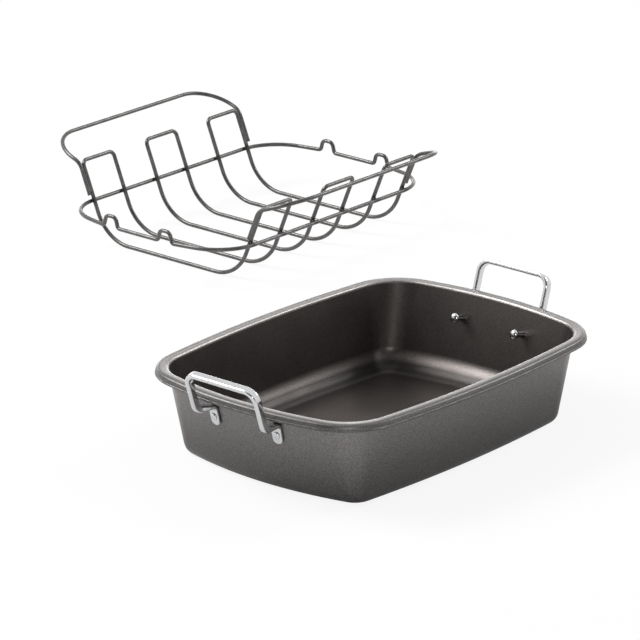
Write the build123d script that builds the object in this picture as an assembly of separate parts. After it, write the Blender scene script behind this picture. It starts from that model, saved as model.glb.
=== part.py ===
from build123d import *
import os
from math import cos, radians, sin, sqrt, tan

# A roasting pan with a U-shaped wire rack, in millimetres. The pan's centre is at the origin
# and the pan stands on z = 0 with its long side along X. Its near end is at -X and its far end
# at +X, its front at -Y and its back at +Y. The rack stands on the same surface behind the
# pan's far end, the way it is put down when it is taken out.

# Pan: one drawn sheet, measured outside. The tapers are how far each wall leans in from the
# flange to the floor
rim_length = 430
rim_width = 312
pan_height = 96
sheet = 1.2
flange_width = 14
rim_long_bulge = 17
rim_short_bulge = 29
rim_corner_radius = 64
end_taper = 24
side_taper = 15
foot_long_bulge = 10
foot_short_bulge = 20
foot_corner_radius = 22
cove_radius = 12
flange_root_radius = 3.6
skirt_drop = 7.6
skirt_edge_radius = 4.6
hem_height = 2.4
hem_thickness = 2.1
hem_overhang = 0.7
hem_edge_radius = 0.9

# Rivets: a button outside, a shank through tab and wall, a neck and a mushroom head inside
rivet_below_rim = 28
rivet_spacing = 82
shank_diameter = 5
neck_diameter = 6.4
neck_length = 11
head_diameter = 10.8
head_height = 4.4
button_diameter = 8.4
button_height = 2
button_dimple_diameter = 2.6
button_dimple_depth = 0.7
rivet_gap = 0.1

# Handles: one flat bar each, bent into a loop, with its ends forged into tabs
bar_width = 9
bar_thickness = 5.4
bar_edge_radius = 1.9
handle_length = 95
handle_above_rim = 26
handle_lean_angle = 18
handle_bend_radius = 12
handle_rim_gap = 0.9
tab_width = 12
tab_thickness = 3
tab_above_rivet = 7
tab_below_rivet = 10
tab_edge_radius = 0.9
tab_round_share = 0.4875
tab_gap = 0.3
tab_hole_gap = 0.15
forging_drop = 10
forging_rise = 4.5
forging_outer_radius = 9
forging_inner_radius = 4
forging_sections = 7

# Rack: round wire throughout, heights from the plane of the ring
wire_diameter = 4.6
hoop_spacing = 106
hoop_width = 50.6
hoop_half_span = 117.5
hoop_lean_angle = 22.5
hoop_rise = 45
hoop_depth = 43
hoop_bend_radius = 50
hoop_corner_radius = 6.5
wire_gap = 0.1

# Ring round the hoops, with humps that hook over the rivets' necks
ring_corner_radius = 54
ring_end_taper = 14
hump_rise = 12.5
hump_foot_width = 21
hump_top_width = 14
hump_foot_radius = 4
hump_top_radius = 6
seat_gap = 0.3

# Lifting loops, welded along the outer hoops' legs
loop_start_rise = 8
loop_bend_rise = 44
loop_bend_radius = 18
loop_bar_half_span = 186
loop_bar_rise = 62
loop_flare = 2
loop_bar_corner_radius = 43
ring_weld_diameter = 5.2
seam_weld_diameter = 2.5
seam_weld_length = 20
seam_weld_start_rise = 11
seam_end_share = 0.49

# Where the rack stands when it is out of the pan
rack_beside_x = 412
rack_beside_y = 534

overrun = 5


def arc_radius(half_chord, bulge):
    """Radius of the arc that swells by the bulge over twice the half chord."""
    return (half_chord**2 + bulge**2) / (2 * bulge)


def swelling_outline(half_length, half_width, long_radius, short_radius, corner_radius):
    """Face bounded by four swelling sides and four corner arcs tangent to them."""
    long_centre = Vector(0, half_width - long_radius)
    short_centre = Vector(half_length - short_radius, 0)
    apart = short_centre - long_centre
    reach_long = long_radius - corner_radius
    reach_short = short_radius - corner_radius
    along = (reach_long**2 - reach_short**2 + apart.length**2) / (2 * apart.length)
    across = sqrt(reach_long**2 - along**2)
    forward = apart.normalized()
    sideways = Vector(forward.Y, -forward.X)
    corner_centre = long_centre + forward * along + sideways * across
    on_long = long_centre + (corner_centre - long_centre).normalized() * long_radius
    on_short = short_centre + (corner_centre - short_centre).normalized() * short_radius
    outward = (on_long + on_short - corner_centre * 2).normalized()
    mid_corner = corner_centre + outward * corner_radius

    def turned(point, x_sign, y_sign):
        return (point.X * x_sign, point.Y * y_sign)

    edges = [
        ThreePointArc(turned(on_long, -1, 1), (0, half_width), turned(on_long, 1, 1)),
        ThreePointArc(turned(on_long, 1, 1), turned(mid_corner, 1, 1), turned(on_short, 1, 1)),
        ThreePointArc(turned(on_short, 1, 1), (half_length, 0), turned(on_short, 1, -1)),
        ThreePointArc(turned(on_short, 1, -1), turned(mid_corner, 1, -1), turned(on_long, 1, -1)),
        ThreePointArc(turned(on_long, 1, -1), (0, -half_width), turned(on_long, -1, -1)),
        ThreePointArc(turned(on_long, -1, -1), turned(mid_corner, -1, -1), turned(on_short, -1, -1)),
        ThreePointArc(turned(on_short, -1, -1), (-half_length, 0), turned(on_short, -1, 1)),
        ThreePointArc(turned(on_short, -1, 1), turned(mid_corner, -1, 1), turned(on_long, -1, 1)),
    ]
    return make_face(edges)


def rim_outline(inset):
    """The rim's outline, drawn in on every side by the inset."""
    return swelling_outline(
        rim_length / 2 - inset,
        rim_width / 2 - inset,
        arc_radius(rim_length / 2, rim_long_bulge) - inset,
        arc_radius(rim_width / 2, rim_short_bulge) - inset,
        rim_corner_radius - inset,
    )


def foot_outline(inset):
    """The outline that the walls would meet the floor in, drawn in by the inset."""
    half_length = rim_length / 2 - flange_width - end_taper
    half_width = rim_width / 2 - flange_width - side_taper
    return swelling_outline(
        half_length - inset,
        half_width - inset,
        arc_radius(half_length, foot_long_bulge) - inset,
        arc_radius(half_width, foot_short_bulge) - inset,
        foot_corner_radius - inset,
    )


def drafted_block(inset, floor_height, edge_radius):
    """Solid block with the pan's drafted walls, cut off at the floor and rounded there."""
    top = Pos(0, 0, pan_height) * rim_outline(flange_width - sheet + inset)
    block = loft([foot_outline(inset), top])
    block = block - Pos(0, 0, floor_height - overrun) * Box(rim_length, rim_width, 2 * overrun)
    floor_edges = block.faces().sort_by(Axis.Z)[0].edges()
    return fillet(floor_edges, edge_radius)


def flange():
    """The level flange with its turned-down skirt and the hem along the skirt's edge."""
    skirt_foot = pan_height - skirt_drop
    slab = extrude(Pos(0, 0, skirt_foot) * rim_outline(hem_overhang), skirt_drop)
    slab = fillet(slab.faces().sort_by(Axis.Z)[-1].edges(), skirt_edge_radius)
    hollow = extrude(Pos(0, 0, skirt_foot) * rim_outline(hem_overhang + sheet), skirt_drop - sheet)
    hollow = fillet(hollow.faces().sort_by(Axis.Z)[-1].edges(), skirt_edge_radius - sheet)
    hem = extrude(Pos(0, 0, skirt_foot) * rim_outline(0), hem_height)
    hem = fillet(hem.faces().filter_by(Axis.Z).edges(), hem_edge_radius)
    hem_core = extrude(Pos(0, 0, skirt_foot - overrun) * rim_outline(hem_thickness), skirt_drop)
    return slab - hollow + (hem - hem_core)


def pan_shell(outside, inside):
    """The drawn pan: floor, cove, drafted walls, flange and skirt in one sheet."""
    rim = flange()
    body = rim + outside
    roots = new_edges(rim, outside, combined=body).group_by(Axis.Z)[-1]
    body = fillet(roots, flange_root_radius - sheet)
    shell = body - inside
    flange_top = shell.faces().sort_by(Axis.Z)[-1]
    return fillet(flange_top.inner_wires()[0].edges(), flange_root_radius)


def wall_plane(block):
    """Plane on the far wall at the left rivet, its z axis along the wall's outward normal."""
    probe = Axis((0, rivet_spacing / 2, pan_height - rivet_below_rim), (1, 0, 0))
    hits = block.find_intersection_points(probe)
    point, normal = max(hits, key=lambda hit: hit[0].X)
    outward = normal if normal.X > 0 else normal * -1
    return Plane(origin=point, x_dir=Vector(0, 0, 1).cross(outward), z_dir=outward)


def on_both_sides(solid):
    """A far-end solid and its mirror image at the near end."""
    return solid, mirror(solid, about=Plane.YZ)


def rivet():
    """Shoulder rivet along Z, with z = 0 on the wall's outer face and the button above."""
    shank = shank_diameter / 2
    neck = neck_diameter / 2
    head = head_diameter / 2
    button = button_diameter / 2
    dimple = button_dimple_diameter / 2
    shoulder = -sheet - rivet_gap
    head_base = shoulder - neck_length
    head_top = head_base - head_height
    button_base = tab_gap + tab_thickness + rivet_gap
    button_top = button_base + button_height
    crown = button_top - button_dimple_depth
    profile = make_face(
        [
            Line((0, head_top), (0, crown)),
            Line((0, crown), (dimple, button_top)),
            RadiusArc((dimple, button_top), (button, button_base), button),
            Line((button, button_base), (shank, button_base)),
            Line((shank, button_base), (shank, shoulder)),
            Line((shank, shoulder), (neck, shoulder)),
            Line((neck, shoulder), (neck, head_base)),
            Line((neck, head_base), (head, head_base)),
            RadiusArc((head, head_base), (0, head_top), arc_radius(head, head_height)),
        ]
    )
    return revolve(Plane.XZ * profile, Axis.Z)


def bar_section(width, thickness, edge_radius):
    """Rounded section of the handle's bar."""
    return RectangleRounded(width, thickness, edge_radius)


def tab(wall):
    """Flat tab against the wall, round below the rivet, with the rivet's hole."""
    length = tab_above_rivet + tab_below_rivet
    middle = (tab_above_rivet - tab_below_rivet) / 2
    plate = extrude(Pos(0, middle, tab_gap) * Rectangle(tab_width, length), tab_thickness)
    upright = plate.edges().filter_by(Axis.Z).group_by(Axis.Y)[0]
    plate = fillet(upright, tab_width * tab_round_share)
    plate = fillet(plate.faces().sort_by(Axis.Z)[-1].edges(), tab_edge_radius)
    return wall * plate


def tab_hole(wall):
    """Hole for the rivet's shank, through the tab and the wall."""
    hole = Cylinder(shank_diameter / 2 + tab_hole_gap, 2 * (tab_thickness + sheet) + overrun)
    return wall * hole


def handle_leg_x():
    """How far out the leg's centre passes the skirt, at the height of the skirt's edge."""
    half_width = bar_width / 2 / cos(radians(handle_lean_angle))
    return rim_length / 2 + handle_rim_gap + half_width


def forged_end(wall, foot_plane):
    """Bar that turns in under the flange and down the wall, and flattens into the tab."""
    tab_top = (wall * Pos(0, tab_above_rivet, tab_gap + tab_thickness / 2)).position
    below_leg = foot_plane.origin + foot_plane.z_dir * forging_drop
    over_tab = tab_top + wall.y_dir * forging_rise
    path = FilletPolyline(
        foot_plane.origin, below_leg, over_tab, tab_top,
        radius=[forging_outer_radius, forging_inner_radius],
    )
    sections = []
    for step in range(forging_sections):
        share = step / (forging_sections - 1)
        eased = share * share * (3 - 2 * share)
        along = path % share
        across = foot_plane.y_dir * (1 - eased) - wall.x_dir * eased
        plane = Plane(origin=path @ share, x_dir=across.cross(along), z_dir=along)
        width = bar_width + (tab_thickness - bar_width) * eased
        thickness = bar_thickness + (tab_width - bar_thickness) * eased
        edge_radius = bar_edge_radius + (tab_edge_radius - bar_edge_radius) * eased
        sections.append(plane * bar_section(width, thickness, edge_radius))
    return loft(sections)


def handle(wall):
    """Far handle: a leaning loop of flat bar, two forged ends and two tabs."""
    lean = radians(handle_lean_angle)
    rise = handle_above_rim + skirt_drop
    bar_x = handle_leg_x() + rise * tan(lean)
    loop_plane = Plane(
        origin=(bar_x, 0, pan_height + handle_above_rim),
        x_dir=(0, 1, 0),
        z_dir=(cos(lean), 0, -sin(lean)),
    )
    half_length = handle_length / 2 - bar_thickness / 2
    leg = rise / cos(lean)
    path = FilletPolyline(
        (half_length, -leg), (half_length, 0), (-half_length, 0), (-half_length, -leg),
        radius=handle_bend_radius,
    )
    path = loop_plane * path
    foot_plane = Plane(origin=path @ 0, x_dir=loop_plane.z_dir, z_dir=(path % 0) * -1)
    section = foot_plane * bar_section(bar_width, bar_thickness, bar_edge_radius)
    loop = sweep(section, path=path)
    end = forged_end(wall, foot_plane) + tab(wall) - tab_hole(wall)
    return loop + end + mirror(end, about=Plane.XZ)


def wire_along(path):
    """Round wire along a path."""
    start = Plane(origin=path @ 0, z_dir=path % 0)
    return sweep(start * Circle(wire_diameter / 2), path=path)


def hoop_leg_y(rise):
    """Half span of the hoops' leaning legs at a height over the ring's plane."""
    return hoop_half_span + rise * tan(radians(hoop_lean_angle))


def hoop(middle_x):
    """Closed hoop bent into a U: two bars across the trough and a crossbar at each top."""
    left = middle_x - hoop_width / 2
    right = middle_x + hoop_width / 2
    top = hoop_leg_y(hoop_rise)
    foot = hoop_leg_y(-hoop_depth)
    points = []
    for x, side in ((left, 1), (right, 1), (right, -1), (left, -1)):
        crossbar = (x, side * top, hoop_rise)
        bend = (x, side * foot, -hoop_depth)
        starts_leg = (x == right) == (side == 1)
        points += [crossbar, bend] if starts_leg else [bend, crossbar]
    radii = [
        hoop_corner_radius if point[2] > 0 else hoop_bend_radius for point in points
    ]
    return wire_along(FilletPolyline(points, radius=radii, close=True))


def ring_side_y():
    """Half span of the ring, which lies against the outside of the hoops' legs."""
    return hoop_half_span + (wire_diameter + wire_gap) / cos(radians(hoop_lean_angle))


def ring(half_length):
    """Closed ring with two humps on each short side."""
    side = ring_side_y()
    humps = []
    for middle in (-rivet_spacing / 2, rivet_spacing / 2):
        humps += [
            (middle - hump_foot_width / 2, 0),
            (middle - hump_top_width / 2, hump_rise),
            (middle + hump_top_width / 2, hump_rise),
            (middle + hump_foot_width / 2, 0),
        ]
    far = [(half_length, y, z) for y, z in humps]
    near = [(-half_length, -y, z) for y, z in humps]
    corner = half_length - ring_end_taper
    points = [(corner, -side, 0)] + far + [(corner, side, 0)]
    points += [(-corner, side, 0)] + near + [(-corner, -side, 0)]
    hump_radii = [hump_foot_radius, hump_top_radius, hump_top_radius, hump_foot_radius]
    end_radii = [ring_corner_radius] + hump_radii * 2 + [ring_corner_radius]
    return wire_along(FilletPolyline(points, radius=end_radii * 2, close=True))


def loop_leg_x():
    """Place of a loop's legs, beside the outermost bars of the hoops."""
    return hoop_spacing + hoop_width / 2 + wire_diameter + wire_gap


def loop():
    """Back lifting loop: legs up the outer hoops, then out to a bar with large corners."""
    x = loop_leg_x()
    start = (-x, hoop_leg_y(loop_start_rise), loop_start_rise)
    bend = (-x, hoop_leg_y(loop_bend_rise), loop_bend_rise)
    corner = (-x - loop_flare, loop_bar_half_span, loop_bar_rise)
    half = [start, bend, corner]
    other = [(-px, py, pz) for px, py, pz in reversed(half)]
    radii = [loop_bend_radius, loop_bar_corner_radius, loop_bar_corner_radius, loop_bend_radius]
    return wire_along(FilletPolyline(half + other, radius=radii))


def bar_places():
    """Places along X of the six bars that the three hoops make across the trough."""
    middles = [-hoop_spacing, 0, hoop_spacing]
    return [middle + side * hoop_width / 2 for middle in middles for side in (-1, 1)]


def ring_welds():
    """Spot weld at each crossing of the ring and a hoop's leg."""
    half_gap = (wire_diameter + wire_gap) / 2 * cos(radians(hoop_lean_angle))
    rise = (wire_diameter + wire_gap) / 2 * sin(radians(hoop_lean_angle))
    welds = []
    for x in bar_places():
        for side in (-1, 1):
            y = side * (ring_side_y() - half_gap)
            welds.append(Pos(x, y, rise) * Sphere(ring_weld_diameter / 2))
    return welds


def loop_welds():
    """Seam weld in the groove between each leg of the loops and the hoop beside it."""
    lean = radians(hoop_lean_angle)
    x = loop_leg_x() - (wire_diameter + wire_gap) / 2
    rise = seam_weld_start_rise + seam_weld_length / 2 * cos(lean)
    straight = Cylinder(seam_weld_diameter / 2, seam_weld_length)
    seam = fillet(straight.edges(), seam_weld_diameter * seam_end_share)
    welds = []
    for x_side in (-1, 1):
        for y_side in (-1, 1):
            place = Pos(x_side * x, y_side * hoop_leg_y(rise), rise)
            welds.append(place * Rot(-y_side * hoop_lean_angle, 0, 0) * seam)
    return welds


def seat_height(wall):
    """Height of the ring's plane when its humps hang on the rivets' necks."""
    along_neck = Vector(0, 0, -sheet - neck_length / 2)
    neck_middle = wall.from_local_coords(along_neck)
    return neck_middle.Z + neck_diameter / 2 + seat_gap + wire_diameter / 2 - hump_rise


def ring_half_length(wall):
    """Distance from the middle of the ring to its short sides, over the necks' middles."""
    along_neck = Vector(0, 0, -sheet - neck_length / 2)
    return wall.from_local_coords(along_neck).X


def build():
    """All the nodes by name."""
    outside = drafted_block(0, 0, cove_radius + sheet)
    inside = drafted_block(sheet, sheet, cove_radius)
    wall = wall_plane(outside)
    shell = pan_shell(outside, inside)
    for hole in on_both_sides(tab_hole(wall)):
        shell = shell - hole - mirror(hole, about=Plane.XZ)
    far_handle, near_handle = on_both_sides(handle(wall))
    far_left, near_left = on_both_sides(wall * rivet())
    nodes = {
        "pan_shell": shell,
        "handle_near": near_handle,
        "handle_far": far_handle,
        "rivet_near_left": near_left,
        "rivet_near_right": mirror(near_left, about=Plane.XZ),
        "rivet_far_left": far_left,
        "rivet_far_right": mirror(far_left, about=Plane.XZ),
    }

    hoop_names = ("rack_hoop_left", "rack_hoop_middle", "rack_hoop_right")
    rack = {name: hoop(step * hoop_spacing) for name, step in zip(hoop_names, (-1, 0, 1))}
    back_loop = loop()
    rack["rack_ring"] = ring(ring_half_length(wall))
    rack["rack_loop_back"] = back_loop
    rack["rack_loop_front"] = mirror(back_loop, about=Plane.XZ)
    rack["ring_welds"] = Compound(children=ring_welds())
    rack["loop_welds"] = Compound(children=loop_welds())
    standing = Pos(rack_beside_x, rack_beside_y, hoop_depth + wire_diameter / 2)
    for name, solid in rack.items():
        nodes[name] = standing * solid
    seat_rise = seat_height(wall) - hoop_depth - wire_diameter / 2
    print(f"seated, the rack is {seat_rise:.2f} above its standing height, over the pan's middle")
    return nodes


os.makedirs("parts", exist_ok=True)
for name, solid in build().items():
    export_step(solid, f"parts/{name}.step")
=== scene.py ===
"""Looks of a roasting pan with its wire rack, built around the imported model, in metres."""

import logging
import math
from dataclasses import dataclass, field, replace
from enum import Enum
from typing import Optional, Sequence, Union

import bpy
from mathutils import Matrix, Vector

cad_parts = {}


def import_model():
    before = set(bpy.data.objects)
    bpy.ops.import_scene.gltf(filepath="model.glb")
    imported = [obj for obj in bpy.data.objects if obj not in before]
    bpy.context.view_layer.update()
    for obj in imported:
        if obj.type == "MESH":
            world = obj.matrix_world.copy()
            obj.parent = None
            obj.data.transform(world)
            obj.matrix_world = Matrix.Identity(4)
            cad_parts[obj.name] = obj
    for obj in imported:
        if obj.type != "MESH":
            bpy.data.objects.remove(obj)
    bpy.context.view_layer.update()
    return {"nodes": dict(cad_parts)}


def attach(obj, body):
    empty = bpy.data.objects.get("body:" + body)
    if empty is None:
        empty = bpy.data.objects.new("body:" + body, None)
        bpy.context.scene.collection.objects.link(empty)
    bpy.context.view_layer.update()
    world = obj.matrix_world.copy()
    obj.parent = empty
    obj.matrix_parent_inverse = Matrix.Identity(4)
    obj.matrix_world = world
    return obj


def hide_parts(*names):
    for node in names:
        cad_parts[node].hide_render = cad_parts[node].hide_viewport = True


LOG = logging.getLogger("roasting_pan")
MM = 0.001
WHITE = (1.0, 1.0, 1.0, 1.0)
MIN_ARC_STEPS = 4

Number = Union[int, float]
Colour = tuple[float, float, float]
Span = tuple[float, float]


class Body(Enum):
    """Bodies of the frame that pieces ride on."""

    PAN = "pan"
    RACK = "rack"


class Slot(Enum):
    """Material slots of the record."""

    PAN_COATING = "pan_coating"
    CHROME = "chrome"
    RACK_WIRE = "rack_wire"


@dataclass(frozen=True)
class Field:
    """One output of a node, with Python's arithmetic on it.

    Args:
        graph: the graph that the node belongs to.
        socket: the output socket.
    """

    graph: "Graph"
    socket: bpy.types.NodeSocket

    def maths(self, operation: str, *terms: Union["Field", Number]) -> "Field":
        """Add one Math node.

        Args:
            operation: name of the Math node's operation.
            terms: its inputs, in order.

        Returns:
            The node's value.
        """
        inputs = dict(enumerate(terms))
        return self.graph.add("ShaderNodeMath", {"operation": operation}, inputs)

    def __add__(self, other: Union["Field", Number]) -> "Field":
        """Sum with a field or a number."""
        return self.maths("ADD", self, other)

    __radd__ = __add__

    def __sub__(self, other: Union["Field", Number]) -> "Field":
        """Difference, this field first."""
        return self.maths("SUBTRACT", self, other)

    def __rsub__(self, other: Union["Field", Number]) -> "Field":
        """Difference, the other term first."""
        return self.maths("SUBTRACT", other, self)

    def __mul__(self, other: Union["Field", Number]) -> "Field":
        """Product with a field or a number."""
        return self.maths("MULTIPLY", self, other)

    __rmul__ = __mul__

    def __gt__(self, other: Union["Field", Number]) -> "Field":
        """One where this field is the larger, zero elsewhere."""
        return self.maths("GREATER_THAN", self, other)

    def __abs__(self) -> "Field":
        """This field without its sign."""
        return self.maths("ABSOLUTE", self)

    def root(self) -> "Field":
        """Square root of this field."""
        return self.maths("SQRT", self)

    def larger(self, other: Union["Field", Number]) -> "Field":
        """The larger of two terms."""
        return self.maths("MAXIMUM", self, other)

    def smaller(self, other: Union["Field", Number]) -> "Field":
        """The smaller of two terms."""
        return self.maths("MINIMUM", self, other)

    def smooth(self, start: float, end: float, low: float = 0.0, high: float = 1.0) -> "Field":
        """Smooth step of this field.

        Args:
            start: value of the field where the step begins.
            end: value of the field where the step ends.
            low: result before the step.
            high: result after the step.

        Returns:
            The stepped field.
        """
        settings = {"interpolation_type": "SMOOTHSTEP"}
        inputs = {"Value": self, 1: start, 2: end, 3: low, 4: high}
        return self.graph.add("ShaderNodeMapRange", settings, inputs)


@dataclass(frozen=True)
class Noise:
    """One noise over a piece.

    Args:
        scale: cells in a metre.
        detail: octaves.
        roughness: weight of the finer octaves.
    """

    scale: float
    detail: float = 2.0
    roughness: float = 0.5


class Graph:
    """A node tree that is filled by expressions."""

    def __init__(self, tree: bpy.types.NodeTree) -> None:
        """Start an empty tree.

        Args:
            tree: node tree of a material or a world.
        """
        self.tree = tree
        tree.nodes.clear()

    def add(
        self,
        kind: str,
        settings: Optional[dict] = None,
        inputs: Optional[dict] = None,
        output: Union[str, int] = 0,
    ) -> Field:
        """Add one node.

        Args:
            kind: the node's type.
            settings: its properties, set first.
            inputs: values or fields for its sockets, by name or index.
            output: name or index of the output to return.

        Returns:
            The chosen output.
        """
        node = self.tree.nodes.new(kind)
        for name, value in (settings or {}).items():
            setattr(node, name, value)
        for key, value in (inputs or {}).items():
            if isinstance(value, Field):
                self.tree.links.new(value.socket, node.inputs[key])
            else:
                node.inputs[key].default_value = value
        if not node.outputs:
            return Field(self, None)
        return Field(self, node.outputs[output])

    def place(self) -> Field:
        """Object coordinates of the piece."""
        return self.add("ShaderNodeTexCoord", output="Object")

    def normal(self) -> Field:
        """Surface normal in the piece's own frame."""
        return self.add("ShaderNodeTexCoord", output="Normal")

    def split(self, vector: Field) -> tuple[Field, Field, Field]:
        """The three parts of a vector."""
        node = self.add("ShaderNodeSeparateXYZ", inputs={0: vector}).socket.node
        return tuple(Field(self, out) for out in node.outputs)

    def noise(self, noise: Noise) -> Field:
        """Noise over the piece, from 0 to 1.

        Args:
            noise: its scale and octaves.

        Returns:
            The noise's value.
        """
        inputs = {
            "Vector": self.place(),
            "Scale": noise.scale,
            "Detail": noise.detail,
            "Roughness": noise.roughness,
        }
        return self.add("ShaderNodeTexNoise", inputs=inputs)

    def blend(
        self, factor: Field, first: Union[Field, Colour], second: Union[Field, Colour]
    ) -> Field:
        """Mix two colours.

        Args:
            factor: share of the second colour.
            first: colour at 0.
            second: colour at 1.

        Returns:
            The mixed colour.
        """
        colours = [c if isinstance(c, Field) else (*c, 1.0) for c in (first, second)]
        inputs = {0: factor, 6: colours[0], 7: colours[1]}
        return self.add("ShaderNodeMix", {"data_type": "RGBA"}, inputs, output=2)

    def scaled(self, colour: Field, factor: Field) -> Field:
        """Colour times a number."""
        inputs = {0: colour, "Scale": factor}
        return self.add("ShaderNodeVectorMath", {"operation": "SCALE"}, inputs)

    def bump(
        self, height: Field, strength: float, distance: float, under: Optional[Field] = None
    ) -> Field:
        """Bumped normal.

        Args:
            height: field from 0 to 1.
            strength: share of the effect.
            distance: height in metres that 1 stands for.
            under: normal that the bump is added to.

        Returns:
            The normal.
        """
        inputs = {"Height": height, "Strength": strength, "Distance": distance}
        if under is not None:
            inputs["Normal"] = under
        return self.add("ShaderNodeBump", inputs=inputs)

    def surface(self, shader: Field, output: str = "ShaderNodeOutputMaterial") -> None:
        """Send a shader to the tree's output."""
        self.add(output, inputs={"Surface": shader})


def new_material(name: Union[Slot, str]) -> tuple[bpy.types.Material, Graph]:
    """Make an empty node material.

    Args:
        name: the material's name, or the record's slot that it is for.

    Returns:
        The material and its graph.
    """
    material = bpy.data.materials.new(name.value if isinstance(name, Slot) else name)
    material.use_nodes = True
    return material, Graph(material.node_tree)


@dataclass(frozen=True)
class RimOutline:
    """The rim's outline: four swelling arcs that are joined by round corners.

    Args:
        half: half the rim's length and half its width.
        bulge: how far a long side and a short side swell.
        corner: radius of the corners.
    """

    half: Span = (215 * MM, 156 * MM)
    bulge: Span = (17 * MM, 29 * MM)
    corner: float = 64 * MM

    def depth(self, x: Field, y: Field) -> Field:
        """Distance in from the outline.

        Args:
            x: place along the pan.
            y: place across the pan.

        Returns:
            The distance in metres.
        """
        (half_x, half_y), (long_bulge, short_bulge) = self.half, self.bulge
        long_radius = (half_x**2 + long_bulge**2) / (2 * long_bulge)
        short_radius = (half_y**2 + short_bulge**2) / (2 * short_bulge)
        x, y = abs(x), abs(y)
        up, over = y + (long_radius - half_y), x + (short_radius - half_x)
        past_long = (x * x + up * up).root() - (long_radius - self.corner)
        past_short = (over * over + y * y).root() - (short_radius - self.corner)
        # The two sides' normals at a corner aren't square to each other
        turn = math.asin(half_x / long_radius) + math.asin(half_y / short_radius)
        cosine, sine = math.sin(turn), math.cos(turn)
        both = past_long * past_long + past_short * past_short
        both = both - past_long * past_short * (2 * cosine)
        rounded = (both.larger(0.0) * (1 / sine**2)).root()
        beyond_long = past_short - past_long * cosine > 0.0
        beyond_short = past_long - past_short * cosine > 0.0
        straight = past_long.larger(past_short)
        return self.corner - straight - beyond_short * beyond_long * (rounded - straight)


@dataclass(frozen=True)
class SheetPlace:
    """Where a point lies on the pan's drawn sheet.

    Args:
        height: height over the table.
        level: how far its face looks up.
        inside: 1 on the sheet's inner side, 0 elsewhere.
        rim: 1 on the flange, 0 below it.
        depth: distance in from the rim's outline.
    """

    height: Field
    level: Field
    inside: Field
    rim: Field
    depth: Field


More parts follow.
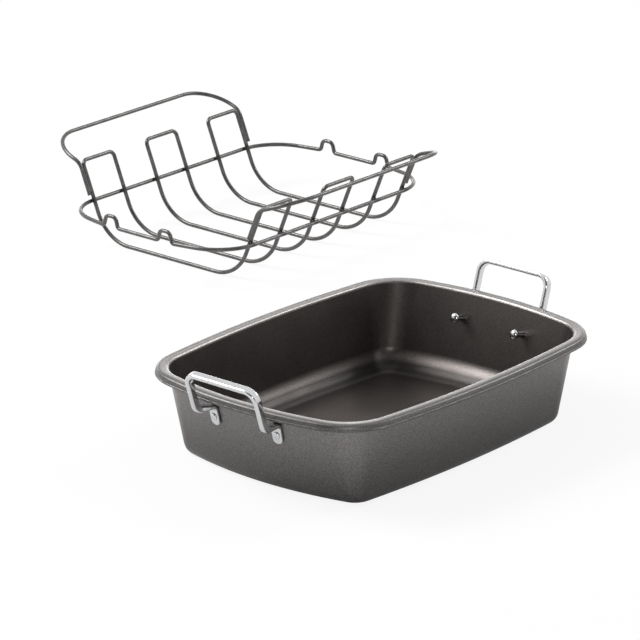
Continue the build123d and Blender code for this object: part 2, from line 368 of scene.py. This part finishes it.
@dataclass(frozen=True)
class PanCoating:
    """Non-stick coating of the pan: metallic grey outside, darker and browner inside."""

    outside: Colour = (0.086, 0.082, 0.080)
    outside_light: Colour = (0.200, 0.192, 0.187)
    inside: Colour = (0.067, 0.060, 0.057)
    inside_light: Colour = (0.118, 0.106, 0.101)
    metallic: float = 0.85
    refraction: float = 1.5
    outside_roughness: float = 0.36
    inside_roughness: float = 0.33
    speckle_roughness: float = 0.05
    cloud: Noise = Noise(22.0)
    cloud_span: Span = (0.3, 0.7)
    cloud_roughness: Span = (-0.02, 0.03)
    grain: Noise = Noise(700.0, 3.0, 0.6)
    flake: Noise = Noise(1900.0, 2.0, 0.7)
    grain_share: float = 0.55
    speckle_span: Span = (0.34, 0.68)
    relief_share: float = 0.5
    relief_strength: float = 0.35
    relief_height: float = 0.16 * MM
    smoother_span: Span = (0.30, 0.75)
    smoother_level: float = 0.75
    inward_weight: float = 14.0
    inward_limit: float = 0.35
    rim: RimOutline = RimOutline()
    mouth_span: Span = (93.8 * MM, 94.6 * MM)
    flange: float = 14 * MM
    crown: float = 0.5 * MM
    # Painted highlight: the inner part of the flange's upward faces is drawn lighter
    painted_highlight_level: Span = (0.55, 0.8)
    painted_highlight_span: Span = (5.88 * MM, 9.52 * MM)
    painted_highlight_gain: float = 2.2
    # Painted shade: the flange's outer edge is drawn darker
    shaded_span: Span = (1.4 * MM, 5.32 * MM)
    shaded: float = 0.62
    # Painted shade towards the outside walls' foot and painted light towards the rim
    wall_span: Span = (4 * MM, 88 * MM)
    wall_painted_tones: Span = (0.73, 1.34)
    # Painted light: the pan's inside floor is drawn lighter
    floor_span: Span = (1.4 * MM, 2.4 * MM)
    floor_painted_light: float = 1.65
    # Painted shade in the inside cove, between about 1.5 and 18 mm up
    cove_shade_start: Span = (1.5 * MM, 4 * MM)
    cove_shade_end: Span = (9 * MM, 18 * MM)
    cove_painted_shade: float = 0.72
    cove_span: Span = (2 * MM, 27 * MM)
    cove_sweep: float = 8.4 * MM

    def _place(self, graph: Graph) -> SheetPlace:
        """Tell the inside, the outside and the flange apart.

        Args:
            graph: the material's graph.

        Returns:
            The fields that say where a point lies.
        """
        x, y, z = graph.split(graph.place())
        nx, ny, nz = graph.split(graph.normal())
        rim = z.smooth(*self.mouth_span)
        inward = nz - self.inward_weight * (x * nx + y * ny) > self.inward_limit
        return SheetPlace(z, nz, inward * (1 - rim), rim, self.rim.depth(x, y))

    def _tone(self, at: SheetPlace) -> Field:
        """How much lighter or darker the coat is painted at a place: painted highlight and shade on
        the flange, painted shade and light on the outside walls, painted light on the floor and
        painted shade in the cove.

        Args:
            at: where the point lies.

        Returns:
            The factor for the coat's colour.
        """
        z = at.height
        # Painted highlight: lighter colour on the inner part of the flange's upward faces
        lip_highlight = at.depth.smooth(*self.painted_highlight_span) * (self.painted_highlight_gain - 1)
        # Painted shade: darker colour along the rim's outer edge, over the whole tone
        rim_edge_shade = at.depth.smooth(*self.shaded_span, self.shaded, 1.0)
        # Painted shade towards the outside walls' foot and painted light towards the rim
        wall = z.smooth(*self.wall_span, *self.wall_painted_tones)
        # Painted shade in the inside cove, between about 1.5 and 18 mm up
        shade_in_cove = z.smooth(*self.cove_shade_start) * (1 - z.smooth(*self.cove_shade_end)) * self.cove_painted_shade
        # Painted light: the pan's inside floor is drawn lighter
        floor = (1 - z.smooth(*self.floor_span)) * (self.floor_painted_light - 1)
        on_top = at.level.smooth(*self.painted_highlight_level) * at.rim
        outside = (1 - at.rim) * (1 - at.inside)
        tone = 1 + on_top * lip_highlight + outside * (wall - 1) + at.inside * (floor - shade_in_cove)
        return tone * rim_edge_shade

    def _normal(self, graph: Graph, at: SheetPlace, relief: Field) -> Field:
        """Normal with the cove's sweep, the flange's crown and the coat's grain.

        Args:
            graph: the material's graph.
            at: where the point lies.
            relief: the grain's height, from 0 to 1.

        Returns:
            The normal.
        """
        sweep = (1 - at.height.smooth(*self.cove_span)) * at.inside
        cove = graph.bump(sweep, 1.0, self.cove_sweep)
        across = at.depth * (2 / self.flange) - 1
        crown = graph.bump((1 - across * across) * at.rim, 1.0, self.crown, cove)
        smoother = at.level.smooth(*self.smoother_span) * self.smoother_level
        return graph.bump(relief * (1 - smoother), self.relief_strength, self.relief_height, crown)

    def material(self) -> bpy.types.Material:
        """Make the material.

        Returns:
            The coating, told apart inside and outside by the way the sheet faces.
        """
        material, graph = new_material(Slot.PAN_COATING)
        at = self._place(graph)
        grain, flake = graph.noise(self.grain), graph.noise(self.flake)
        speckle = grain * self.grain_share + flake * (1 - self.grain_share)
        speckle = speckle.smooth(*self.speckle_span)
        outside = graph.blend(speckle, self.outside, self.outside_light)
        inside = graph.blend(speckle, self.inside, self.inside_light)
        # The tone factor puts painted light and shade into the coat's colour
        colour = graph.scaled(graph.blend(at.inside, outside, inside), self._tone(at))
        cloud = graph.noise(self.cloud).smooth(*self.cloud_span, *self.cloud_roughness)
        roughness = at.inside * (self.inside_roughness - self.outside_roughness)
        roughness = roughness + self.outside_roughness + cloud + speckle * self.speckle_roughness
        relief = grain * self.relief_share + flake * (1 - self.relief_share)
        shader = graph.add(
            "ShaderNodeBsdfPrincipled",
            inputs={
                "Base Color": colour,
                "Metallic": self.metallic,
                "Roughness": roughness,
                "Normal": self._normal(graph, at, relief),
                "IOR": self.refraction,
            },
        )
        graph.surface(shader)
        return material


@dataclass(frozen=True)
class Chrome:
    """Bright plating with a faint waviness from forging and polishing."""

    colour: Colour = (0.64, 0.645, 0.652)
    darker: float = 0.95
    cloud: Noise = Noise(48.0)
    cloud_span: Span = (0.3, 0.7)
    smear: Noise = Noise(120.0)
    smear_span: Span = (0.35, 0.75)
    roughness: Span = (0.11, 0.18)
    wave: Noise = Noise(40.0, 1.0)
    wave_strength: float = 0.5
    wave_height: float = 0.5 * MM

    def material(self) -> bpy.types.Material:
        """Make the material.

        Returns:
            The plating.
        """
        material, graph = new_material(Slot.CHROME)
        darker = tuple(self.darker * part for part in self.colour)
        cloud = graph.noise(self.cloud).smooth(*self.cloud_span)
        shader = graph.add(
            "ShaderNodeBsdfPrincipled",
            inputs={
                "Base Color": graph.blend(cloud, self.colour, darker),
                "Metallic": 1.0,
                "Roughness": graph.noise(self.smear).smooth(*self.smear_span, *self.roughness),
                "Normal": graph.bump(graph.noise(self.wave), self.wave_strength, self.wave_height),
            },
        )
        graph.surface(shader)
        return material


@dataclass(frozen=True)
class WireCoating:
    """Graphite non-stick coat on the rack's wire, with painted shade beside the spot welds."""

    colour: Colour = (0.078, 0.075, 0.073)
    light: Colour = (0.150, 0.145, 0.142)
    metallic: float = 0.75
    roughness: Span = (0.26, 0.38)
    grain: Noise = Noise(1400.0, 3.0, 0.65)
    grain_span: Span = (0.3, 0.7)
    grain_strength: float = 0.4
    grain_height: float = 0.06 * MM
    patch: Noise = Noise(90.0)
    grain_share: float = 0.7
    speckle_span: Span = (0.36, 0.66)
    rack_middle: Span = (412 * MM, 534 * MM)
    weld_along: tuple[float, ...] = (25.3 * MM, 80.7 * MM, 131.3 * MM)
    weld_across: float = 120.4 * MM
    weld_height: float = 46.2 * MM
    weld_shade_span: Span = (2.6 * MM, 8.5 * MM)
    weld_shade_level: float = 0.34

    def _from_weld(self, graph: Graph) -> Field:
        """Distance to the nearest of the ring's spot welds.

        Args:
            graph: the material's graph.

        Returns:
            The distance in metres.
        """
        x, y, z = graph.split(graph.place())
        middle_x, middle_y = self.rack_middle
        along = abs(x - middle_x)
        near, *others = [abs(along - place) for place in self.weld_along]
        for other in others:
            near = near.smaller(other)
        across = abs(abs(y - middle_y) - self.weld_across)
        up = z - self.weld_height
        return (near * near + across * across + up * up).root()

    def material(self) -> bpy.types.Material:
        """Make the material.

        Returns:
            The wire's coat.
        """
        material, graph = new_material(Slot.RACK_WIRE)
        grain, patch = graph.noise(self.grain), graph.noise(self.patch)
        speckle = grain * self.grain_share + patch * (1 - self.grain_share)
        colour = graph.blend(speckle.smooth(*self.speckle_span), self.colour, self.light)
        # Painted shade: the coat is drawn darker round the ring's spot welds
        shade_at_welds = self._from_weld(graph).smooth(*self.weld_shade_span, self.weld_shade_level, 1.0)
        shader = graph.add(
            "ShaderNodeBsdfPrincipled",
            inputs={
                "Base Color": graph.scaled(colour, shade_at_welds),
                "Metallic": self.metallic,
                "Roughness": grain.smooth(*self.grain_span, *self.roughness),
                "Normal": graph.bump(grain, self.grain_strength, self.grain_height),
            },
        )
        graph.surface(shader)
        return material


@dataclass(frozen=True)
class WhiteFloor:
    """Pale floor that shows white to the camera and keeps a share of the shadow."""

    colour: Colour = (0.86, 0.86, 0.86)
    paler: float = 1.02
    tooth: Noise = Noise(60.0)
    kept_white: float = 0.87
    kept_in_gloss: float = 0.04

    def material(self) -> bpy.types.Material:
        """Make the material.

        Returns:
            The floor's paper.
        """
        material, graph = new_material("floor_paper")
        paths = graph.add("ShaderNodeLightPath").socket.node.outputs
        seen = Field(graph, paths["Is Camera Ray"]) * self.kept_white
        mirrored = Field(graph, paths["Is Glossy Ray"]) + Field(graph, paths["Is Transmission Ray"])
        seen = seen.larger(mirrored * self.kept_in_gloss)
        paler = tuple(self.paler * part for part in self.colour)
        colour = graph.blend(graph.noise(self.tooth), self.colour, paler)
        paper = graph.add("ShaderNodeBsdfDiffuse", inputs={"Color": colour})
        white = graph.add("ShaderNodeEmission", inputs={"Color": WHITE, "Strength": 1.0})
        shader = graph.add("ShaderNodeMixShader", inputs={0: seen, 1: paper, 2: white})
        graph.surface(shader)
        return material


@dataclass(frozen=True)
class SoftBox:
    """One rectangular studio light that points at a spot.

    Args:
        name: the light's name.
        at: its place.
        towards: the spot it points at.
        size: its two sides.
        power: its power in watts.
    """

    name: str
    at: tuple[float, float, float]
    towards: tuple[float, float, float]
    size: tuple[float, float]
    power: float

    def build(self) -> None:
        """Add the light to the scene."""
        light = bpy.data.lights.new(self.name, "AREA")
        light.shape = "RECTANGLE"
        light.size, light.size_y = self.size
        light.energy = self.power
        lamp = bpy.data.objects.new(self.name, light)
        turn = (Vector(self.towards) - Vector(self.at)).to_track_quat("-Z", "Y")
        lamp.matrix_world = Matrix.Translation(self.at) @ turn.to_matrix().to_4x4()
        bpy.context.scene.collection.objects.link(lamp)


@dataclass(frozen=True)
class PhotographCamera:
    """The photograph's viewpoint. Angles are in degrees and the frame is 640 pixels square."""

    azimuth: float = -49.24
    elevation: float = 19.33
    distance: float = 5.096
    focal_pixels: float = 5000.0
    image_pixels: float = 640.0
    sensor_width: float = 36.0
    clip_end: float = 100.0
    target: tuple[float, float, float] = (0.0, 0.0, 0.040)
    target_pixel: tuple[float, float] = (372.8, 399.7)

    def build(self) -> None:
        """Add the camera and make it the scene's own."""
        azimuth, elevation = math.radians(self.azimuth), math.radians(self.elevation)
        forward = Vector(
            (
                -math.sin(azimuth) * math.cos(elevation),
                math.cos(azimuth) * math.cos(elevation),
                -math.sin(elevation),
            )
        )
        right = Vector((math.cos(azimuth), math.sin(azimuth), 0.0))
        up = right.cross(forward)
        across = (self.target_pixel[0] - self.image_pixels / 2) / self.focal_pixels
        down = (self.target_pixel[1] - self.image_pixels / 2) / self.focal_pixels
        place = Vector(self.target) - self.distance * (forward + right * across - up * down)
        lens = bpy.data.cameras.new("photograph")
        lens.sensor_width = self.sensor_width
        lens.lens = self.sensor_width * self.focal_pixels / self.image_pixels
        lens.clip_end = self.clip_end
        camera = bpy.data.objects.new("photograph", lens)
        turn = Matrix((right, up, -forward)).transposed().to_4x4()
        camera.matrix_world = Matrix.Translation(place) @ turn
        bpy.context.scene.collection.objects.link(camera)
        bpy.context.scene.camera = camera


@dataclass(frozen=True)
class Studio:
    """Floor, soft lights, world and camera."""

    floor_size: float = 60.0
    key: SoftBox = SoftBox("key_box", (-1.2, 2.3, 2.5), (0.1, 0.1, 0.0), (1.5, 1.3), 104.0)
    right: SoftBox = SoftBox("right_box", (2.5, -1.1, 2.0), (0.1, 0.0, 0.0), (1.0, 0.9), 34.0)
    back: SoftBox = SoftBox("back_box", (3.3, 2.8, 0.42), (0.1, 0.1, 0.05), (4.2, 0.6), 34.0)
    front: SoftBox = SoftBox("front_box", (-2.4, -2.3, 1.3), (-0.15, -0.1, 0.05), (0.9, 0.7), 19.0)
    world_level: float = 0.42
    gloss_level: float = 1.0
    dark_side: tuple[float, float, float] = (-0.78, -0.60, 0.15)
    dark_span: Span = (0.35, 0.75)
    dark_level: float = 0.10

    def build(self) -> None:
        """Build everything that isn't the object."""
        self._floor()
        for box in (self.key, self.right, self.back, self.front):
            box.build()
        self._world()
        PhotographCamera().build()
        bpy.context.scene.view_settings.view_transform = "Standard"

    def _floor(self) -> None:
        """Lay the floor, with its material."""
        bpy.ops.object.select_all(action="DESELECT")
        bpy.ops.mesh.primitive_plane_add(size=self.floor_size)
        floor = bpy.context.object
        floor.name = "studio_floor"
        floor.data.materials.append(WhiteFloor().material())

    def _world(self) -> None:
        """White to the camera, grey as light, white in gloss but for one dark fixed side.

        The dark side lies where the photograph's camera stands and doesn't follow a camera.
        """
        world = bpy.data.worlds.new("studio")
        world.use_nodes = True
        bpy.context.scene.world = world
        graph = Graph(world.node_tree)
        paths = graph.add("ShaderNodeLightPath").socket.node.outputs
        seen = Field(graph, paths["Is Camera Ray"])
        mirrored = Field(graph, paths["Is Glossy Ray"])
        x, y, z = graph.split(graph.add("ShaderNodeTexCoord", output="Generated"))
        side_x, side_y, side_z = self.dark_side
        towards = x * side_x + y * side_y + z * side_z
        gloss = towards.smooth(*self.dark_span, self.gloss_level, self.dark_level)
        strength = seen * (1 - self.world_level) + self.world_level
        strength = strength + mirrored * (gloss - self.world_level)
        light = graph.add("ShaderNodeBackground", inputs={"Color": WHITE, "Strength": strength})
        graph.surface(light, "ShaderNodeOutputWorld")


def dress(node: bpy.types.Object, material: bpy.types.Material) -> None:
    """Give a piece its only material.

    Args:
        node: the piece.
        material: its finish.
    """
    node.data.materials.clear()
    node.data.materials.append(material)


def stand_for(piece: bpy.types.Object, node: str, chrome: bpy.types.Material) -> None:
    """Dress a chrome piece and let it take a node's place on the pan.

    Args:
        piece: the piece.
        node: the frame's node that it replaces.
        chrome: its finish.
    """
    dress(piece, chrome)
    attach(piece, Body.PAN.value)
    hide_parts(node)
    LOG.info("%s built with %d faces", piece.name, len(piece.data.polygons))


@dataclass
class PanBody:
    """The drawn shell."""

    shell: str = "pan_shell"

    def build(self, nodes: dict[str, bpy.types.Object]) -> None:
        """Dress the shell.

        Args:
            nodes: the frame's pieces by name.
        """
        dress(nodes[self.shell], PanCoating().material())
        LOG.info("%s of the %s dressed", self.shell, Body.PAN.value)


class Bench:
    """Modelling steps that the pieces share."""

    MERGE_DISTANCE = 0.01 * MM

    @staticmethod
    def begin(name: str) -> bpy.types.Object:
        """Start an empty mesh and enter edit mode on it.

        Args:
            name: the piece's name.

        Returns:
            The piece.
        """
        bpy.ops.object.select_all(action="DESELECT")
        bpy.ops.mesh.primitive_plane_add(size=1.0)
        piece = bpy.context.object
        piece.name = name
        bpy.ops.object.mode_set(mode="EDIT")
        bpy.ops.mesh.delete(type="VERT")
        return piece

    @staticmethod
    def tidy() -> None:
        """Merge doubles, turn the faces outwards and leave edit mode."""
        bpy.ops.mesh.select_all(action="SELECT")
        bpy.ops.mesh.remove_doubles(threshold=Bench.MERGE_DISTANCE)
        bpy.ops.mesh.normals_make_consistent(inside=False)
        bpy.ops.object.mode_set(mode="OBJECT")

    @staticmethod
    def only(piece: bpy.types.Object) -> None:
        """Select one piece and make it active.

        Args:
            piece: the piece.
        """
        bpy.ops.object.select_all(action="DESELECT")
        piece.select_set(True)
        bpy.context.view_layer.objects.active = piece

    @staticmethod
    def smooth(piece: bpy.types.Object, levels: int, angle: float) -> None:
        """Subdivide a piece and shade it smooth.

        Args:
            piece: the piece.
            levels: levels of subdivision.
            angle: largest angle in degrees that is shaded smooth.
        """
        Bench.only(piece)
        modifier = piece.modifiers.new("rounding", "SUBSURF")
        modifier.levels = levels
        modifier.render_levels = levels
        bpy.ops.object.modifier_apply(modifier=modifier.name)
        bpy.ops.object.shade_smooth_by_angle(angle=math.radians(angle))

    @staticmethod
    def mirrored(
        piece: bpy.types.Object, name: str, across: tuple[int, int, int]
    ) -> bpy.types.Object:
        """Copy a piece to the other side of the pan.

        Args:
            piece: the piece to copy.
            name: the copy's name.
            across: -1 for each axis that is mirrored, 1 for the others.

        Returns:
            The copy, with its own mesh.
        """
        Bench.only(piece)
        bpy.ops.object.duplicate()
        copy = bpy.context.object
        copy.name = name
        bpy.ops.object.mode_set(mode="EDIT")
        bpy.ops.mesh.select_all(action="SELECT")
        bpy.ops.transform.resize(value=across, center_override=(0.0, 0.0, 0.0))
        bpy.ops.mesh.normals_make_consistent(inside=False)
        bpy.ops.object.mode_set(mode="OBJECT")
        return copy


@dataclass(frozen=True)
class Section:
    """One rounded section of a bar, with its place and its own axes.

    Args:
        centre: its centre.
        normal: direction of its depth.
        side: direction of its breadth.
        depth: size along the normal.
        breadth: size along the side.
        corner: radius of its corners.
    """

    centre: Vector
    normal: Vector
    side: Vector
    depth: float
    breadth: float
    corner: float

    def draw(self, corner_steps: int) -> None:
        """Add the section's outline to the mesh in edit mode.

        Args:
            corner_steps: faces round each corner.
        """
        along = self.normal.cross(self.side).normalized()
        normal = self.side.cross(along).normalized()
        axes = Matrix((normal, self.side.normalized(), along)).transposed()
        bpy.ops.mesh.select_all(action="DESELECT")
        bpy.ops.mesh.primitive_plane_add(size=1.0, location=self.centre, rotation=axes.to_euler())
        bpy.ops.transform.resize(
            value=(self.depth, self.breadth, 1.0),
            orient_type="GLOBAL",
            orient_matrix=axes,
            orient_matrix_type="GLOBAL",
            center_override=self.centre,
        )
        bpy.ops.mesh.bevel(
            offset=self.corner, offset_type="OFFSET", segments=corner_steps, affect="VERTICES"
        )
        bpy.ops.mesh.delete(type="ONLY_FACE")


def straight_run(start: Vector, end: Vector, step: float) -> list[Vector]:
    """Evenly spaced points after the start, up to the end."""
    count = max(1, math.ceil((end - start).length / step))
    return [start.lerp(end, index / count) for index in range(1, count + 1)]


def rounded_route(corners: Sequence[Vector], radii: Sequence[float], step: float) -> list[Vector]:
    """Points along straight runs that are joined by arcs.

    Args:
        corners: the runs' ends.
        radii: radius at each inner corner.
        step: distance between points, at most.

    Returns:
        The points, in order.
    """
    points = [corners[0]]
    for before, corner, after, radius in zip(corners, corners[1:], corners[2:], radii):
        back, ahead = (before - corner).normalized(), (after - corner).normalized()
        half = back.angle(ahead) / 2
        reach = radius / math.tan(half)
        centre = corner + (back + ahead).normalized() * radius / math.sin(half)
        first, last = corner + back * reach - centre, corner + ahead * reach - centre
        points += straight_run(points[-1], centre + first, step)
        count = max(MIN_ARC_STEPS, math.ceil((math.pi - 2 * half) * radius / step))
        for index in range(1, count + 1):
            points.append(centre + first.slerp(last, index / count).normalized() * radius)
    return points + straight_run(points[-1], corners[-1], step)


def heading(points: Sequence[Vector], index: int) -> Vector:
    """Direction of a route at one of its points, from the points beside it."""
    return points[min(index + 1, len(points) - 1)] - points[max(index - 1, 0)]


@dataclass
class RivetedWall:
    """Where a rivet meets the pan's far wall, on its left side.

    Args:
        foot: the rivet's axis on the wall's outer face.
        outward: the wall's outward normal.
        sideways: level direction along the wall.
    """

    foot: Vector = field(default_factory=lambda: Vector((192.834, 41.0, 68.0)) * MM)
    outward: Vector = field(default_factory=lambda: Vector((0.962751, 0.094886, -0.253195)))
    sideways: Vector = field(default_factory=lambda: Vector((-0.098082, 0.995178, 0.0)))

    def upward(self) -> Vector:
        """Steepest direction along the wall."""
        return self.outward.cross(self.sideways)

    def matrix(self) -> Matrix:
        """Turn and place of a rivet that was made along Z."""
        axes = Matrix((self.sideways, self.upward(), self.outward)).transposed().to_4x4()
        return Matrix.Translation(self.foot) @ axes


@dataclass
class Handles:
    """Two loops of flat bar whose ends are forged into tabs."""

    wall: RivetedWall = field(default_factory=RivetedWall)
    bar_depth: float = 9 * MM
    bar_breadth: float = 5.4 * MM
    bar_corner: float = 2.1 * MM
    bar_x: float = 231.55 * MM
    bar_z: float = 122 * MM
    half_span: float = 44.8 * MM
    lean: float = 18.0
    leg_length: float = 45.33 * MM
    bend_radius: float = 12 * MM
    outer_radius: float = 9 * MM
    knee_radius: float = 8.1 * MM
    inner_radius: float = 4.5 * MM
    neck_drop: float = 4.5 * MM
    tab_depth: float = 3 * MM
    tab_breadth: float = 12 * MM
    tab_corner: float = 0.95 * MM
    tab_gap: float = 0.3 * MM
    tab_above: float = 7 * MM
    tab_below: float = 10 * MM
    tab_end_power: float = 2.5
    tab_heights: tuple[float, ...] = (5.0 * MM, 2.5 * MM, 0.0, -2.0 * MM)
    tip_shares: tuple[float, ...] = (0.0, 0.3, 0.55, 0.75, 0.88, 0.95, 0.99)
    step: float = 2.2 * MM
    corner_steps: int = 4
    levels: int = 1
    smooth_angle: float = 50.0

    def build(self, chrome: bpy.types.Material) -> None:
        """Make the far handle, mirror it to the near end and dress both.

        Args:
            chrome: their finish.
        """
        far = Bench.begin("handle_far_forged")
        for section in self._sections():
            section.draw(self.corner_steps)
        bpy.ops.mesh.select_all(action="SELECT")
        bpy.ops.mesh.bridge_edge_loops()
        bpy.ops.mesh.select_all(action="DESELECT")
        bpy.ops.mesh.select_non_manifold()
        bpy.ops.mesh.fill_holes(sides=0)
        Bench.tidy()
        Bench.smooth(far, self.levels, self.smooth_angle)
        near = Bench.mirrored(far, "handle_near_forged", (-1, 1, 1))
        stand_for(far, "handle_far", chrome)
        stand_for(near, "handle_near", chrome)

    def _sections(self) -> list[Section]:
        """Draw up the whole bar.

        Returns:
            Its sections from the left tab's tip round to the right tab's tip.
        """
        half = self._loop() + self._neck() + self._tab()
        flip = Vector((1.0, -1.0, 1.0))
        other = [
            replace(
                section,
                centre=section.centre * flip,
                normal=section.normal * flip,
                side=section.side * -flip,
            )
            for section in half[1:]
        ]
        return list(reversed(other)) + half

    def _leg_direction(self) -> Vector:
        """Direction down the leaning leg."""
        lean = math.radians(self.lean)
        return Vector((-math.sin(lean), 0.0, -math.cos(lean)))

    def _corner(self) -> Vector:
        """Where the bar would meet the left leg if it weren't rounded."""
        return Vector((self.bar_x, self.half_span, self.bar_z))

    def _tab_centre(self, height: float) -> Vector:
        """Middle of the tab's sheet at a height over the rivet's axis."""
        out = self.tab_gap + self.tab_depth / 2
        return self.wall.foot + self.wall.upward() * height + self.wall.outward * out

    def _loop(self) -> list[Section]:
        """Draw up half the loop.

        Returns:
            The sections from the middle of the bar to the foot of the left leg.
        """
        corner, down = self._corner(), self._leg_direction()
        middle = Vector((self.bar_x, 0.0, self.bar_z))
        foot = corner + down * (self.leg_length - self.outer_radius)
        points = rounded_route([middle, corner, foot], [self.bend_radius], self.step)
        normal = Vector((-down.z, 0.0, down.x))
        sections = []
        for index, point in enumerate(points):
            side = heading(points, index).cross(normal).normalized()
            sections.append(
                Section(point, normal, side, self.bar_depth, self.bar_breadth, self.bar_corner)
            )
        return sections

    def _neck(self) -> list[Section]:
        """Draw up the forged bend between leg and tab.

        Returns:
            The sections from the leg's foot, in under the flange and down to the tab.
        """
        down = self._leg_direction()
        leg = self._corner() + down * self.leg_length
        start = leg - down * self.outer_radius
        top = self._tab_centre(self.tab_above)
        over = top + self.wall.upward() * self.neck_drop
        radii = [self.knee_radius, self.inner_radius]
        points = rounded_route([start, leg, over, top], radii, self.step)
        sections = []
        for index in range(1, len(points)):
            share = index / (len(points) - 1)
            eased = share * share * (3 - 2 * share)
            side = Vector((0.0, -1.0, 0.0)).lerp(-self.wall.sideways, eased).normalized()
            sections.append(
                Section(
                    points[index],
                    side.cross(heading(points, index)).normalized(),
                    side,
                    self.bar_depth + (self.tab_depth - self.bar_depth) * eased,
                    self.bar_breadth + (self.tab_breadth - self.bar_breadth) * eased,
                    self.bar_corner + (self.tab_corner - self.bar_corner) * eased,
                )
            )
        return sections

    def _tab(self) -> list[Section]:
        """Draw up the tab.

        Returns:
            The sections down the tab to its rounded tip.
        """
        wall = self.wall
        radius = self.tab_breadth / 2
        low = radius - self.tab_below
        sections = []
        for height in (*self.tab_heights, *(low - radius * share for share in self.tip_shares)):
            share = max(0.0, (low - height) / radius)
            narrowed = (1 - share**self.tab_end_power) ** (1 / self.tab_end_power)
            sections.append(
                Section(
                    self._tab_centre(height),
                    wall.outward,
                    -wall.sideways,
                    self.tab_depth,
                    self.tab_breadth * narrowed,
                    self.tab_corner,
                )
            )
        return sections


@dataclass
class Rivets:
    """Shoulder rivets: a dimpled button outside, a neck and a mushroom head inside.

    Each row is a radius and a height over the wall's outer face, in millimetres.
    """

    wall: RivetedWall = field(default_factory=RivetedWall)
    profile: tuple[tuple[float, float], ...] = (
        (1.2, -16.65),
        (2.6, -16.35),
        (3.9, -15.7),
        (4.8, -14.8),
        (5.25, -13.8),
        (5.35, -13.2),
        (5.3, -12.7),
        (5.05, -12.4),
        (3.6, -12.35),
        (3.2, -12.0),
        (3.15, -7.0),
        (3.15, -2.0),
        (3.5, -1.5),
        (2.5, -1.4),
        (2.5, 3.35),
        (3.9, 3.4),
        (4.15, 3.6),
        (4.1, 3.95),
        (3.7, 4.5),
        (3.0, 4.95),
        (2.2, 5.2),
        (1.6, 5.25),
        (1.3, 5.1),
        (1.05, 4.75),
        (0.6, 4.65),
    )
    vertices: int = 32
    levels: int = 1
    smooth_angle: float = 45.0

    def build(self, chrome: bpy.types.Material) -> None:
        """Make one rivet, copy it to the four places and dress them.

        Args:
            chrome: their finish.
        """
        first = self._turned("rivet_far_left_turned")
        pieces = {"rivet_far_left": first}
        for node, across in (
            ("rivet_far_right", (1, -1, 1)),
            ("rivet_near_left", (-1, 1, 1)),
            ("rivet_near_right", (-1, -1, 1)),
        ):
            pieces[node] = Bench.mirrored(first, f"{node}_turned", across)
        for node, piece in pieces.items():
            stand_for(piece, node, chrome)

    def _turned(self, name: str) -> bpy.types.Object:
        """Turn the profile round its axis and set it in the wall.

        Args:
            name: the piece's name.

        Returns:
            The far left rivet.
        """
        piece = Bench.begin(name)
        radius, height = (part * MM for part in self.profile[0])
        bpy.ops.mesh.primitive_circle_add(
            vertices=self.vertices, radius=radius, fill_type="NGON", location=(0.0, 0.0, height)
        )
        for next_radius, next_height in self.profile[1:]:
            rise = next_height * MM - height
            height += rise
            bpy.ops.mesh.extrude_region_move(TRANSFORM_OT_translate={"value": (0.0, 0.0, rise)})
            growth = next_radius * MM / radius
            radius = next_radius * MM
            bpy.ops.transform.resize(
                value=(growth, growth, 1.0), center_override=(0.0, 0.0, height)
            )
        Bench.tidy()
        piece.matrix_world = self.wall.matrix()
        Bench.only(piece)
        bpy.ops.object.transform_apply(location=True, rotation=True, scale=True)
        Bench.smooth(piece, self.levels, self.smooth_angle)
        return piece


@dataclass
class Rack:
    """The wire rack."""

    pieces: tuple[str, ...] = (
        "rack_hoop_left",
        "rack_hoop_middle",
        "rack_hoop_right",
        "rack_ring",
        "rack_loop_back",
        "rack_loop_front",
        "ring_welds",
        "loop_welds",
    )

    def build(self, nodes: dict[str, bpy.types.Object]) -> None:
        """Dress the rack.

        Args:
            nodes: the frame's pieces by name.
        """
        coat = WireCoating().material()
        for name in self.pieces:
            dress(nodes[name], coat)
            LOG.info("%s of the %s dressed", name, Body.RACK.value)


def main() -> None:
    """Load the frame, build each part of the object and the studio."""
    logging.basicConfig(level=logging.INFO)
    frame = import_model()
    nodes = frame["nodes"]
    PanBody().build(nodes)
    chrome = Chrome().material()
    Handles().build(chrome)
    Rivets().build(chrome)
    Rack().build(nodes)
    Studio().build()


if __name__ == "__main__":
    main()
